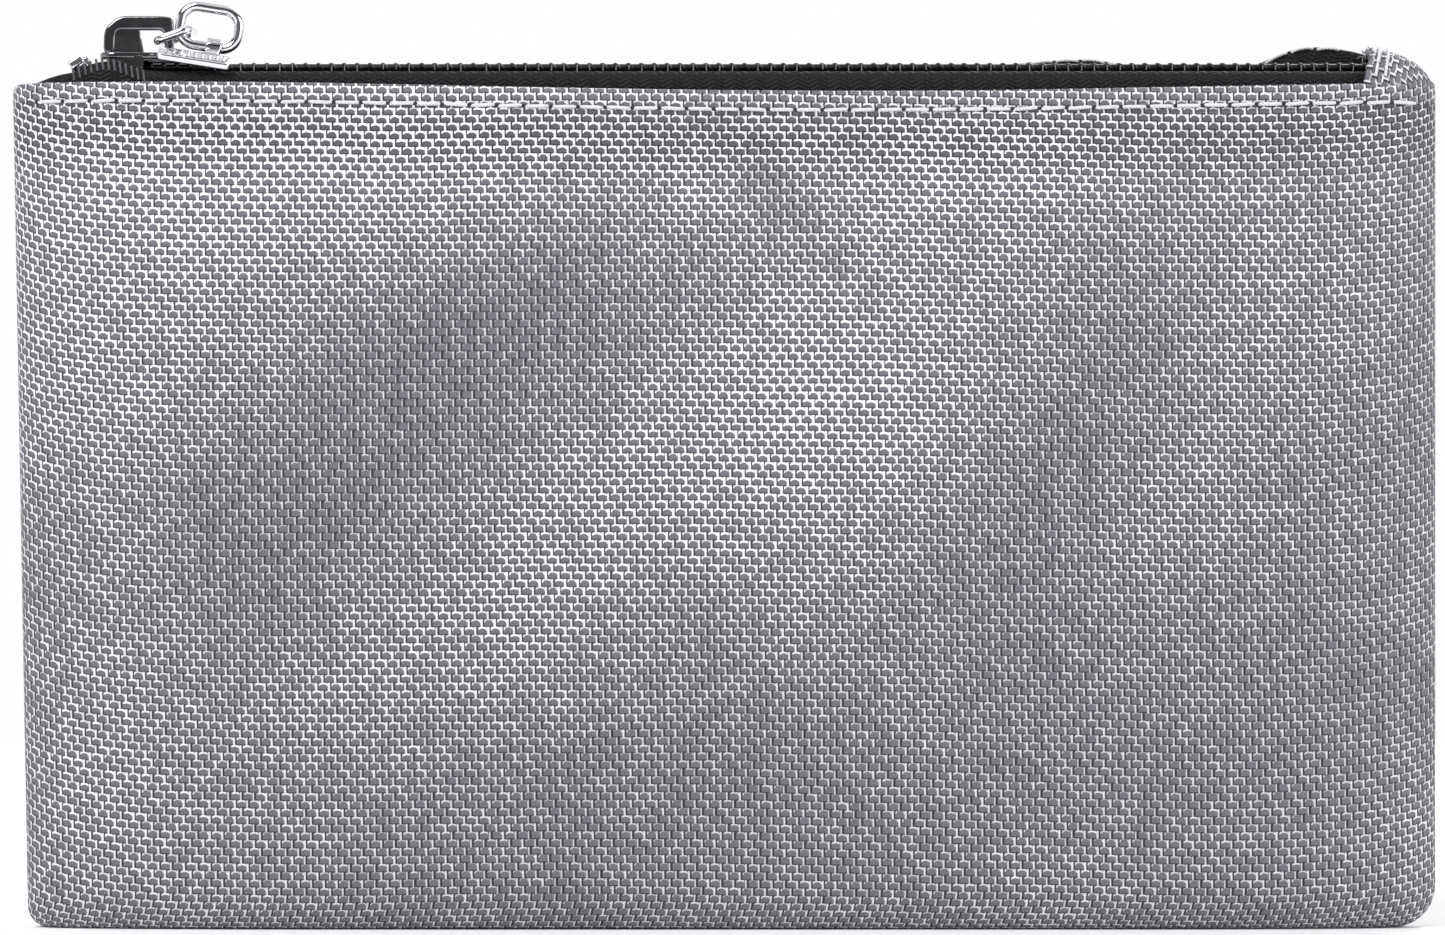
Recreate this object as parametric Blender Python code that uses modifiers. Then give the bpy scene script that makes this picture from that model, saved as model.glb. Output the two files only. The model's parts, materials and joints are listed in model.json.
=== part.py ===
"""Zip pouch of coarse fire-retardant cloth for storing lithium batteries.

The pouch stands upright: X runs along the zip, the front panel faces -Y, and Z = 0 is the flat
fold it stands on. The slider is at the closed end, on the left.
"""
import math

import bmesh
import bpy
from mathutils import Matrix, Vector

MM = 0.001

# Cloth pouch
POUCH_WIDTH = 170 * MM          # across the mouth, over both side seams
POUCH_HEIGHT = 100 * MM         # standing fold to the folded top edge
BELLY_DEPTH = 16 * MM           # front to back, half way up
MOUTH_DEPTH = 14.4 * MM         # front to back, at the zip
BASE_DEPTH = 7 * MM             # flat strip under the pouch
FOOT_RISE = 7 * MM              # height of the curve from the strip into the panels
LEFT_LEAN = 1.8 * MM            # how far the left seam leans in at the bottom
LEFT_CORNER = 2.5 * MM
RIGHT_CORNER = 5 * MM
SIDE_ROUNDING_LOW = 7           # power of the rounded side, at the bottom
SIDE_ROUNDING_TOP = 15          # and at the mouth, which the zip holds open
CLOTH = 0.9 * MM
LINING = 0.4 * MM
LINING_EASE = 0.6 * MM          # lining hangs this far inside the panel
LINING_TOP_DROP = 1.6 * MM      # lining stops this far below the top edge
LINING_STEP_DROP = 5 * MM       # below the tape, the lining starts to step in behind it
LINING_STEP = 3 * MM            # height of that step
HEM_DEPTH = 9 * MM              # how far the zip tape goes down behind the hem
CLEARANCE = 0.3 * MM            # between neighbouring layers
BUTT_GAP = 0.3 * MM             # between the two panels along their seam

# Seams inside the pouch
BINDING_WIDTH = 6 * MM
BINDING_THICKNESS = 1.8 * MM
BINDING_END_GAP = 3 * MM        # side bindings stop this far below the tape
THREAD_DIAMETER = 0.4 * MM
THREAD_PROUD = 0.1 * MM         # gap between a topstitch and the cloth
THREAD_INSET = 1 * MM           # seam threads end short of their bindings
STITCH_DROP = 2.3 * MM          # topstitch below the top edge
STITCH_END = 2 * MM             # topstitch ends short of the side seam

# Zip
TAPE = 0.5 * MM
TAPE_RISE = 2 * MM              # tape face above the top edge of the panels
TAPE_END_INSET = 3.5 * MM       # tape ends short of the side seam
TAPE_END_DROP = 1.2 * MM        # tape dips into the corner at each end
TAPE_END_RUN = 6 * MM           # length over which it dips
TAPE_BEND = 0.7 * MM            # bend from the flat of the tape into its leg
TAPE_EDGE_INSET = 0.1 * MM      # tape edge stands back from the slot
CHAIN_SLOT = 1.3 * MM           # free way for the slider's post
COIL_WIDTH = 2.3 * MM
COIL_PITCH = 1.54 * MM
COIL_CORD = 0.5 * MM
COIL_THICKNESS = 0.7 * MM
COIL_ROOT = 0.45                # share of the width where the coil's heads begin
CORD_PLACE = 0.7                # share of the width where the cord lies
CORD_GAP = 0.05 * MM            # cord to tape, and cord to coil
CHAIN_LEFT_INSET = 9.6 * MM     # first coil turn, from the left seam
CHAIN_RIGHT_INSET = 7.6 * MM

# Slider
SLIDER_LENGTH = 12.5 * MM
SLIDER_LEFT_INSET = 10.6 * MM
SHOULDER_WIDTH = 8.2 * MM
SHOULDER_SHARE = 0.42           # of the length, before the body narrows
SHOULDER_TAPER = 0.4 * MM
NOSE_CHAMFER = 1.2 * MM
WAIST_RUN = 2 * MM              # length over which it narrows
TAIL_WIDTH = 6 * MM
PLATE = 0.8 * MM
SLIDE_FIT = 0.25 * MM           # between slider and chain
FLANGE = 0.6 * MM
POST_THICKNESS = 0.8 * MM
POST_LENGTH = 3 * MM
POST_INSET = 0.6 * MM
TOUCH = 0.05 * MM               # between metal pieces that are pressed together
CROWN_INSET = 0.2 * MM
CROWN_HEIGHT = 4.5 * MM         # above the slider's top plate
CROWN_BAR = 1.7 * MM
CROWN_WIDTH = 1.6 * MM
CROWN_BACK_LEG = 1.4 * MM
CROWN_LEG = 1 * MM              # curled front end
CROWN_LENGTH = 8.4 * MM
CROWN_BACK_ROUNDING = 2 * MM
CROWN_FRONT_ROUNDING = 1.2 * MM
CROWN_FILLET = 0.4 * MM
LOCK_STRIP = 0.35 * MM          # thickness of the lock's spring strip
LOCK_WIDTH = 1 * MM
LOCK_RISE = 1.9 * MM            # strip above the top plate
LOCK_HEEL_INSET = 2.1 * MM
LOCK_PIN_INSET = 4 * MM
LOCK_PIN = 0.6 * MM             # thickness of the pin end
LOCK_PIN_REACH = 0.1 * MM       # pin below the top plate
WINDOW_EASE = 0.5 * MM          # round the pin, in the top plate
WINDOW_FREE = 0.7 * MM          # on the side the pin swings to

# Puller
LINK_WIRE = 1.0 * MM
LINK_REACH = 4.2 * MM
LINK_WIDTH = 6.8 * MM
LINK_CORNER = 1.1 * MM
LINK_TILT = math.radians(20)    # outer end of the link stands up this much
LINK_PLAY = 0.25 * MM           # between the link and the crown's front end
LINK_LIFT = 0.9 * MM            # link above the top plate
RING_WIRE = 1.2 * MM
RING_LENGTH = 7.0 * MM          # centre line
RING_HEIGHT = 4.6 * MM
RING_CORNER = 1.9 * MM
RING_PLANE = -2.1 * MM          # ring stands this far in front of the chain
RING_SLOPE = math.radians(-9)
RING_RISE = 0.5 * MM            # ring's middle above the link's outer strand
RING_PLAY = 0.2 * MM            # between the link's wire and the ring's
TAB_LENGTH = 8.8 * MM
TAB_DEPTH = 2.5 * MM
TAB_THICKNESS = 0.8 * MM
TAB_TILT = math.radians(-26)
TAB_NECK = 1.8 * MM
TAB_OFFSET = 2.75 * MM          # ring wire to the near edge of the tab
TAB_CORNER = 0.6 * MM
TAB_REACH = 2.6 * MM            # knuckle to the right end of the tab
KNUCKLE_PLAY = 0.15 * MM
KNUCKLE_WALL = 0.35 * MM

# Ends of the zip
STOP_LENGTH = 2 * MM
STOP_HEIGHT = 2.6 * MM
STOP_NEAR = 0.25 * MM           # stop to the middle of the zip
STOP_FAR = 2.4 * MM
STOP_DROP = 0.9 * MM            # below the tape's underside
STOP_GRIP = 0.15 * MM           # gap between stop and tape
STOP_BACK = 0.3 * MM            # wall of the stop over the tape's edge
END_TAB_LENGTH = 8.4 * MM
END_TAB_HEIGHT = 4.4 * MM
END_TAB_INSET = 0.6 * MM        # short of the side seam
END_TAB_FALL = 0.42             # share of its height lost at the side seam
END_TAB_ROUNDING = 0.5          # power of the rounded fold, seen along the zip
END_TAB_EASE = 0.1 * MM         # inside the panels' faces
END_SEAM_INSET = 1.8 * MM
END_SEAM_PROUD = 0.3 * MM

HALF_WIDTH = POUCH_WIDTH / 2
TAPE_TOP = POUCH_HEIGHT + TAPE_RISE
COIL_BASE = TAPE_TOP + COIL_CORD + 2 * CORD_GAP
COIL_TOP = COIL_BASE + COIL_THICKNESS
SLIDER_TOP = COIL_TOP + SLIDE_FIT + PLATE
SLIDER_LEFT = -HALF_WIDTH + SLIDER_LEFT_INSET
SLIDER_RIGHT = SLIDER_LEFT + SLIDER_LENGTH
CROWN_LEFT = SLIDER_LEFT + CROWN_INSET
CROWN_RIGHT = CROWN_LEFT + CROWN_LENGTH
LOCK_PIN_LEFT = SLIDER_LEFT + LOCK_PIN_INSET
LINK_PIVOT = Vector((CROWN_RIGHT - CROWN_LEG - LINK_PLAY - LINK_WIRE / 2, 0.0,
                     SLIDER_TOP + LINK_LIFT + LINK_WIRE / 2))
LINK_TURN = Matrix.Rotation(-LINK_TILT, 3, "Y")
RING_PIVOT = LINK_PIVOT + LINK_TURN @ Vector((LINK_REACH, RING_PLANE, 0.0))
RING_NEAR = (LINK_WIRE + RING_WIRE) / 2 + RING_PLAY     # pivot to the ring's near strand
WELD = 0.01 * MM                # points closer than this are one


# ---------------------------------------------------------------- helpers

def collection(name):
    """Make a collection in the scene."""
    made = bpy.data.collections.new(name)
    bpy.context.scene.collection.children.link(made)
    return made


def material(name, colour, roughness, metallic=0.0):
    """Make a Principled material."""
    made = bpy.data.materials.new(name)
    made.use_nodes = True
    shader = made.node_tree.nodes["Principled BSDF"]
    shader.inputs["Base Color"].default_value = (*colour, 1.0)
    shader.inputs["Roughness"].default_value = roughness
    shader.inputs["Metallic"].default_value = metallic
    return made


def add(name, data, finish, where=None):
    """Put a mesh or curve in the scene as a named part."""
    part = bpy.data.objects.new(name, data)
    (where or PARTS).objects.link(part)
    if finish:
        data.materials.append(finish)
    return part


def helper(part):
    """Keep a shape that only cuts or joins out of the model."""
    part.hide_render = True
    part.display_type = "WIRE"
    return part


def block(name, low, high, finish=None, where=None):
    """A box between two corners."""
    low, high = Vector(low), Vector(high)
    shape = bmesh.new()
    bmesh.ops.create_cube(shape, size=1.0)
    for vertex in shape.verts:
        vertex.co = Vector(vertex.co[i] * (high[i] - low[i]) for i in range(3))
    mesh = bpy.data.meshes.new(name)
    shape.to_mesh(mesh)
    shape.free()
    part = add(name, mesh, finish, where)
    part.location = (low + high) / 2
    return part


def plate(name, outline, thickness, finish=None, where=None):
    """A flat outline of (x, y) points, extruded about Z = 0."""
    data = bpy.data.curves.new(name, "CURVE")
    data.dimensions = "2D"
    data.fill_mode = "BOTH"
    data.extrude = thickness / 2
    spline = data.splines.new("POLY")
    spline.points.add(len(outline) - 1)
    for point, (x, y) in zip(spline.points, outline):
        point.co = (x, y, 0.0, 1.0)
    spline.use_cyclic_u = True
    spline.use_smooth = False
    return add(name, data, finish, where)


def upright_plate(name, outline, thickness, finish):
    """A flat outline of (x, z) points, standing across Y and extruded about the middle plane."""
    part = plate(name, outline, thickness, finish)
    part.rotation_euler = (math.pi / 2, 0.0, 0.0)
    return part


def wire(name, points, diameter, finish, closed=False):
    """A round wire or thread through points, with capped ends unless it is closed."""
    data = bpy.data.curves.new(name, "CURVE")
    data.dimensions = "3D"
    data.bevel_depth = diameter / 2
    data.bevel_resolution = 2
    data.use_fill_caps = not closed
    spline = data.splines.new("POLY")
    spline.points.add(len(points) - 1)
    for point, place in zip(spline.points, points):
        point.co = (*place, 1.0)
    spline.use_cyclic_u = closed
    return add(name, data, finish)


def as_mesh(part):
    """Turn a curve into a welded mesh of the same name, so that it can be cut or joined."""
    bpy.context.view_layer.update()
    source = part.evaluated_get(bpy.context.evaluated_depsgraph_get())
    mesh = bpy.data.meshes.new_from_object(source)
    shape = bmesh.new()
    shape.from_mesh(mesh)
    bmesh.ops.remove_doubles(shape, verts=shape.verts, dist=WELD)
    shape.to_mesh(mesh)
    shape.free()
    home = part.users_collection[0]
    name, place = part.name, part.matrix_world.copy()
    bpy.data.objects.remove(part)
    made = bpy.data.objects.new(name, mesh)
    home.objects.link(made)
    made.matrix_world = place
    return made


def combine(part, other, operation):
    """Join another shape to a part, or cut it away."""
    boolean = part.modifiers.new(f"{operation} {other.name}".lower(), "BOOLEAN")
    boolean.operation = operation
    boolean.object = helper(other)


def sheet_part(name, rows, thickness, finish, offset=-1.0):
    """A cloth piece: a grid of points given a thickness. Offset -1 thickens towards the inside."""
    shape = bmesh.new()
    grid = [[shape.verts.new(point) for point in row] for row in rows]
    for lower, upper in zip(grid, grid[1:]):
        for i in range(len(lower) - 1):
            shape.faces.new((lower[i], lower[i + 1], upper[i + 1], upper[i]))
    bmesh.ops.remove_doubles(shape, verts=shape.verts, dist=WELD)
    bmesh.ops.dissolve_degenerate(shape, edges=shape.edges, dist=WELD)
    mesh = bpy.data.meshes.new(name)
    shape.to_mesh(mesh)
    shape.free()
    mesh.shade_smooth()
    part = add(name, mesh, finish)
    solid = part.modifiers.new("cloth thickness", "SOLIDIFY")
    solid.thickness = thickness
    solid.offset = offset
    solid.use_even_offset = True
    return part


# ---------------------------------------------------------------- shape of the pouch

def corner_inset(z, radius):
    """How far a rounded bottom corner stands in from the side at height z."""
    if z >= radius:
        return 0.0
    return radius - math.sqrt(radius ** 2 - (radius - z) ** 2)


def side_edges(z, inset=0.0):
    """Left and right seam at height z above the fold, moved in by inset."""
    lean = LEFT_LEAN * (1.0 - z / POUCH_HEIGHT)
    left = -HALF_WIDTH + lean + corner_inset(z, LEFT_CORNER) + inset
    right = HALF_WIDTH - corner_inset(z, RIGHT_CORNER) - inset
    return left, right


def half_depth(z):
    """Half of the pouch's depth at height z, in the middle of its width."""
    fraction = min(max(z / POUCH_HEIGHT, 0.0), 1.0)
    swell = MOUTH_DEPTH + (BELLY_DEPTH - MOUTH_DEPTH) * math.sin(math.pi * fraction)
    curve = 1.0 - min(z / FOOT_RISE, 1.0)
    return (BASE_DEPTH + (swell - BASE_DEPTH) * math.sqrt(1.0 - curve ** 2)) / 2


def side_closing(u, z):
    """Share of the depth left at u, from 0 in the middle to 1 at a side seam."""
    rise = (z / POUCH_HEIGHT) ** 3
    power = SIDE_ROUNDING_LOW + (SIDE_ROUNDING_TOP - SIDE_ROUNDING_LOW) * rise
    return math.sqrt(max(1.0 - abs(u) ** power, 0.0))


def depth_at(x, z, inset=0.0):
    """Distance from the middle plane to the panel's outer face, or to a layer inside it."""
    left, right = side_edges(z, inset)
    u = (x - (left + right) / 2) / ((right - left) / 2)
    seam = (BUTT_GAP + CLOTH) / 2
    return seam + (half_depth(z) - seam - inset) * side_closing(min(abs(u), 1.0), z)


def column_shares(count):
    """Places across the pouch, from -1 to 1, closer together near the side seams."""
    half = [1.0 - (1.0 - i / count) ** 2 for i in range(count + 1)]
    return [-u for u in reversed(half[1:])] + half


def heights(top, foot_rows, rows):
    """Heights of the rows of a panel: fine round the fold, even above it."""
    low = [FOOT_RISE * (1.0 - math.cos(math.pi / 2 * i / foot_rows)) for i in range(foot_rows + 1)]
    return low + [FOOT_RISE + (top - FOOT_RISE) * (i + 1) / rows for i in range(rows)]


def panel_rows(side, top, inset, thickness, rows):
    """Outer face of a panel or lining. Side is -1 at the front; inset(z) shrinks it evenly."""
    levels = heights(top, 4, rows)
    shares = column_shares(10)
    seam = (BUTT_GAP + thickness) / 2
    grid = []
    for number, z in enumerate([0.0] + levels):
        left, right = side_edges(z, inset(z))
        lift = inset(0.0) * max(1.0 - z / FOOT_RISE, 0.0)
        row = []
        for u in shares:
            depth = 0.0 if number == 0 else half_depth(z) - seam - inset(z)
            y = seam + max(depth, 0.0) * side_closing(u, z)
            row.append((left + (right - left) * (u + 1.0) / 2, side * y, z + lift))
        grid.append(row if side < 0 else row[::-1])
    return grid


def lining_inset(z):
    """Lining lies against the panel, and behind the zip tape near the mouth."""
    beside_cloth = CLOTH + LINING_EASE
    behind_tape = TAPE + CLEARANCE
    start = POUCH_HEIGHT - HEM_DEPTH - LINING_STEP_DROP
    share = min(max((z - start) / LINING_STEP, 0.0), 1.0)
    return beside_cloth + behind_tape * share


# ---------------------------------------------------------------- cloth pieces

def make_panels(cloth, lining):
    """Outer panels and the lining sewn in behind them."""
    for side, word in ((-1, "front"), (1, "back")):
        rows = panel_rows(side, POUCH_HEIGHT, lambda z: 0.0, CLOTH, 8)
        sheet_part(f"{word}_panel", rows, CLOTH, cloth)
        top = POUCH_HEIGHT - LINING_TOP_DROP
        rows = panel_rows(side, top, lining_inset, LINING, 8)
        sheet_part(f"{word}_liner", rows, LINING, lining)


def make_bindings(tape, thread):
    """Bound seam allowances inside the pouch, and the threads that hold them."""
    inset = lining_inset(POUCH_HEIGHT) + LINING + CLEARANCE
    low = FOOT_RISE + BINDING_WIDTH
    high = POUCH_HEIGHT - HEM_DEPTH - BINDING_END_GAP
    edge = BINDING_THICKNESS / 2
    thread_y = -(edge + CLEARANCE / 2 + THREAD_DIAMETER / 2)
    for word, index, sign in (("left", 0, 1), ("right", 1, -1)):
        ends = [side_edges(z, inset)[index] for z in (low, high)]
        outline = [(ends[0], low), (ends[0] + sign * BINDING_WIDTH, low),
                   (ends[1] + sign * BINDING_WIDTH, high), (ends[1], high)]
        upright_plate(f"{word}_seam_binding", outline, BINDING_THICKNESS, tape)
        middle = sign * BINDING_WIDTH / 2
        line = [(ends[0] + middle, thread_y, low + THREAD_INSET),
                (ends[1] + middle, thread_y, high - THREAD_INSET)]
        wire(f"{word}_seam_thread", line, THREAD_DIAMETER, thread)
    left, right = side_edges(low, inset + BINDING_WIDTH)
    base = lining_inset(0.0) + LINING + 3 * CLEARANCE
    block("bottom_seam_binding", (left, -edge, base), (right, edge, base + BINDING_WIDTH), tape)
    height = base + BINDING_WIDTH / 2
    line = [(left + THREAD_INSET, thread_y, height), (right - THREAD_INSET, thread_y, height)]
    wire("bottom_seam_thread", line, THREAD_DIAMETER, thread)


def make_topstitches(thread):
    """Thread along each hem, just proud of the cloth."""
    height = POUCH_HEIGHT - STITCH_DROP
    reach = HALF_WIDTH - STITCH_END
    for side, word in ((-1, "front"), (1, "back")):
        line = []
        for u in column_shares(9):
            y = depth_at(u * reach, height) + THREAD_DIAMETER / 2 + THREAD_PROUD
            line.append((u * reach, side * y, height))
        wire(f"{word}_topstitch", line, THREAD_DIAMETER, thread)


# ---------------------------------------------------------------- zip

def tape_drop(x):
    """How far the tape has dipped into the corner at x."""
    end = HALF_WIDTH - TAPE_END_INSET
    share = min(max((abs(x) - end + TAPE_END_RUN) / TAPE_END_RUN, 0.0), 1.0)
    return TAPE_END_DROP * share ** 2


def tape_section(x, side):
    """Points across one tape: under the coil, out to the side, and down behind the hem."""
    flat = TAPE_TOP - TAPE / 2 - tape_drop(x)
    behind = CLOTH + CLEARANCE + TAPE / 2
    leg = depth_at(x, POUCH_HEIGHT, behind)
    low = POUCH_HEIGHT - HEM_DEPTH
    leg_low = depth_at(x, low, behind)
    inner = CHAIN_SLOT / 2 + TAPE_EDGE_INSET
    path = [(inner, flat), ((inner + leg) / 2, flat), (leg - TAPE_BEND, flat),
            (leg - TAPE_BEND / 4, flat - TAPE_BEND / 4), (leg, flat - TAPE_BEND),
            (leg, POUCH_HEIGHT - CLEARANCE), (min(leg, leg_low), low)]
    return [(x, side * y, z) for y, z in path]


def make_tapes(tape):
    """Woven tapes that carry the coils."""
    end = HALF_WIDTH - TAPE_END_INSET
    shares = column_shares(10)
    for side, word in ((-1, "front"), (1, "back")):
        rows = [tape_section(u * end, side) for u in shares]
        if side > 0:
            rows.reverse()
        sheet_part(f"{word}_zipper_tape", rows, TAPE, tape, offset=0.0)


def comb_outline(left, right):
    """Outline of one coil seen from above: a back rail with a head for each turn."""
    inner, outer = CHAIN_SLOT / 2, CHAIN_SLOT / 2 + COIL_WIDTH
    root = inner + COIL_WIDTH * COIL_ROOT
    outline = [(left, outer), (left, root)]
    turns = int((right - left) / COIL_PITCH)
    for turn in range(turns):
        start = left + (turn + 0.25) * COIL_PITCH
        end = start + COIL_PITCH / 2
        outline += [(start, root), (start, inner), (end, inner), (end, root)]
    return outline + [(right, root), (right, outer)]


def make_coils(nylon):
    """Toothed coils and the cords that run along inside them."""
    left = -HALF_WIDTH + CHAIN_LEFT_INSET
    right = HALF_WIDTH - CHAIN_RIGHT_INSET
    cord_y = CHAIN_SLOT / 2 + COIL_WIDTH * CORD_PLACE
    for side, word in ((-1, "front"), (1, "back")):
        shift = COIL_PITCH / 2 if side > 0 else 0.0
        outline = [(x, side * y) for x, y in comb_outline(left + shift, right)]
        coil = plate(f"{word}_coil", outline, COIL_THICKNESS, nylon)
        coil.location.z = (COIL_BASE + COIL_TOP) / 2
        height = TAPE_TOP + COIL_CORD / 2 + CORD_GAP
        line = [(left, side * cord_y, height), (right, side * cord_y, height)]
        wire(f"{word}_coil_cord", line, COIL_CORD, nylon)


def make_top_stops(steel):
    """Clips over the tape edges that stop the slider at the closed end."""
    right = -HALF_WIDTH + CHAIN_LEFT_INSET - CLEARANCE
    left = right - STOP_LENGTH
    low = TAPE_TOP - TAPE - STOP_DROP
    for side, word in ((-1, "front"), (1, "back")):
        ends = sorted((side * STOP_NEAR, side * STOP_FAR))
        clip = block(f"{word}_top_stop", (left, ends[0], low), (right, ends[1], low + STOP_HEIGHT), steel)
        ends = sorted((side * (STOP_NEAR + STOP_BACK), side * (STOP_FAR + STOP_BACK)))
        slot_low = TAPE_TOP - TAPE - tape_drop(left) - STOP_GRIP
        slot = block(f"{word}_stop_slot", (left - CLEARANCE, ends[0], slot_low),
                     (right + CLEARANCE, ends[1], TAPE_TOP + STOP_GRIP), where=CUTTERS)
        combine(clip, slot, "DIFFERENCE")


def over_fold(half, rise, angle):
    """Y and Z on the end tab's rounded fold: angle runs from the front over the top to the back."""
    across = math.copysign(abs(math.cos(angle)) ** END_TAB_ROUNDING, math.cos(angle))
    return -half * across, POUCH_HEIGHT + CLEARANCE + rise * abs(math.sin(angle)) ** END_TAB_ROUNDING


def make_end_tab(cloth, thread):
    """Fold of cloth sewn over the right end of the zip."""
    start = HALF_WIDTH - END_TAB_LENGTH - END_TAB_INSET
    rows = []
    for i in range(6):
        share = i / 5
        x = start + END_TAB_LENGTH * share
        half = depth_at(x, POUCH_HEIGHT) - END_TAB_EASE
        rise = END_TAB_HEIGHT * (1.0 - END_TAB_FALL * share ** 1.5)
        rows.append([(x, *over_fold(half, rise, math.pi * (1.0 - j / 12))) for j in range(13)])
    sheet_part("right_end_tab", rows, CLOTH * 0.8, cloth)
    x = start + END_SEAM_INSET
    half = depth_at(x, POUCH_HEIGHT) + END_SEAM_PROUD
    rise = END_TAB_HEIGHT + END_SEAM_PROUD
    line = [(x, *over_fold(half, rise, math.pi * (0.12 + 0.76 * j / 8))) for j in range(9)]
    wire("end_tab_thread", line, THREAD_DIAMETER, thread)


# ---------------------------------------------------------------- slider and puller

def slider_outline():
    """Outline of the slider's two plates: wide shoulders on the left, a narrow tail on the right."""
    shoulder, tail = SHOULDER_WIDTH / 2, TAIL_WIDTH / 2
    waist = SLIDER_LEFT + SLIDER_LENGTH * SHOULDER_SHARE
    half = [(SLIDER_LEFT, shoulder - NOSE_CHAMFER), (SLIDER_LEFT + NOSE_CHAMFER, shoulder),
            (waist, shoulder - SHOULDER_TAPER), (waist + WAIST_RUN, tail), (SLIDER_RIGHT, tail)]
    return [(x, -y) for x, y in half] + half[::-1]


def slider_level(name, bottom, finish=None, where=None):
    """One of the slider's plates, as a mesh with its underside at bottom."""
    level = plate(name, slider_outline(), PLATE, finish, where)
    level.location.z = bottom + PLATE / 2
    return as_mesh(level)


def make_slider_body(steel):
    """Two plates round the chain, joined by the post that parts the coils."""
    lower = TAPE_TOP - TAPE - SLIDE_FIT - PLATE
    upper = SLIDER_TOP - PLATE
    body = slider_level("slider_body", upper, steel)
    combine(body, slider_level("lower_plate", lower, where=CUTTERS), "UNION")
    left = SLIDER_LEFT + POST_INSET
    post = block("slider_post", (left, -POST_THICKNESS / 2, lower + PLATE / 2),
                 (left + POST_LENGTH, POST_THICKNESS / 2, upper + PLATE / 2), where=CUTTERS)
    combine(body, post, "UNION")
    rim = CHAIN_SLOT / 2 + COIL_WIDTH + SLIDE_FIT
    left, right = SLIDER_LEFT + NOSE_CHAMFER, SLIDER_LEFT + SLIDER_LENGTH * SHOULDER_SHARE
    for side, word in ((-1, "front"), (1, "back")):
        ends = sorted((side * rim, side * (rim + FLANGE)))
        flange = block(f"{word}_flange", (left, ends[0], TAPE_TOP + SLIDE_FIT),
                       (right, ends[1], upper + PLATE / 2), where=CUTTERS)
        combine(body, flange, "UNION")
    window = block("lock_window", (LOCK_PIN_LEFT - WINDOW_EASE, -LOCK_WIDTH, upper - PLATE),
                   (LOCK_PIN_LEFT + LOCK_PIN + WINDOW_FREE, LOCK_WIDTH, SLIDER_TOP + PLATE), where=CUTTERS)
    combine(body, window, "DIFFERENCE")


def quarter_arc(centre, radius, start):
    """Points round a quarter circle, anticlockwise from the start angle."""
    angles = [start + math.pi / 2 * i / 4 for i in range(5)]
    return [(centre[0] + radius * math.cos(a), centre[1] + radius * math.sin(a)) for a in angles]


def make_crown(steel):
    """Bridge over the slider, which holds the puller's link."""
    left, right, foot = CROWN_LEFT, CROWN_RIGHT, SLIDER_TOP + TOUCH
    top = SLIDER_TOP + CROWN_HEIGHT
    under = top - CROWN_BAR
    inner = left + CROWN_BACK_LEG
    outline = [(left, foot), (inner, foot), (inner, under - CROWN_FILLET), (inner + CROWN_FILLET, under),
               (right - CROWN_LEG - CROWN_FILLET, under), (right - CROWN_LEG, under - CROWN_FILLET),
               (right - CROWN_LEG, foot), (right, foot)]
    front, back = CROWN_FRONT_ROUNDING, CROWN_BACK_ROUNDING
    outline += quarter_arc((right - front, top - front), front, 0.0)
    outline += quarter_arc((left + back, top - back), back, math.pi / 2)
    upright_plate("slider_crown", outline, CROWN_WIDTH, steel)


def make_lock_pin(spring):
    """Spring strip under the crown with a pin that drops between the coil's turns."""
    heel, left, right = SLIDER_LEFT + LOCK_HEEL_INSET, LOCK_PIN_LEFT, LOCK_PIN_LEFT + LOCK_PIN
    tip = SLIDER_TOP - PLATE - LOCK_PIN_REACH
    level = SLIDER_TOP + LOCK_RISE
    outline = [(heel, level), (left, level), (left, tip), (right, tip), (right, level + LOCK_STRIP),
               (heel, level + LOCK_STRIP)]
    upright_plate("lock_pin", outline, LOCK_WIDTH, spring)


def rounded_loop(length, height, radius):
    """Points round a rectangle with rounded corners, centred on zero."""
    reach, lift = length / 2 - radius, height / 2 - radius
    centres = ((reach, lift), (-reach, lift), (-reach, -lift), (reach, -lift))
    points = []
    for quarter, centre in enumerate(centres):
        points += quarter_arc(centre, radius, math.pi / 2 * quarter)
    return points


def make_link(chrome):
    """Oval link from the crown to the ring."""
    loop = rounded_loop(LINK_REACH, LINK_WIDTH, LINK_CORNER)
    points = [LINK_TURN @ Vector((LINK_REACH / 2 + x, y, 0.0)) for x, y in loop]
    wire("pull_link", points, LINK_WIRE, chrome, closed=True).location = LINK_PIVOT


def in_ring(along, up):
    """An offset from the ring's pivot: along the ring's length and across it."""
    return Matrix.Rotation(-RING_SLOPE, 3, "Y") @ Vector((along, 0.0, up))


def make_ring(chrome):
    """Rounded ring that hangs on the link."""
    loop = rounded_loop(RING_LENGTH, RING_HEIGHT, RING_CORNER)
    points = [in_ring(RING_LENGTH / 2 - RING_NEAR + x, RING_RISE + y) for x, y in loop]
    wire("pull_ring", points, RING_WIRE, chrome, closed=True).location = RING_PIVOT


def make_knuckle(chrome, place):
    """The tab's end, rolled into a sleeve round the ring's wire."""
    inner = RING_WIRE / 2 + KNUCKLE_PLAY
    outer, half = inner + KNUCKLE_WALL, TAB_NECK / 2
    data = bpy.data.meshes.new("pull_tab")
    shape = bmesh.new()
    profile = [(outer, half), (outer, -half), (inner, -half), (inner, half)]
    corners = [shape.verts.new((radius, 0.0, height)) for radius, height in profile]
    for first, second in zip(corners, corners[1:] + corners[:1]):
        shape.edges.new((first, second))
    shape.to_mesh(data)
    shape.free()
    knuckle = add("pull_tab", data, chrome)
    turn = knuckle.modifiers.new("rolled knuckle", "SCREW")
    turn.steps = turn.render_steps = 16
    turn.use_merge_vertices = True
    turn.merge_threshold = WELD
    knuckle.matrix_world = place @ Matrix.Rotation(math.pi / 2, 4, "Y")
    return knuckle


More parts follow.
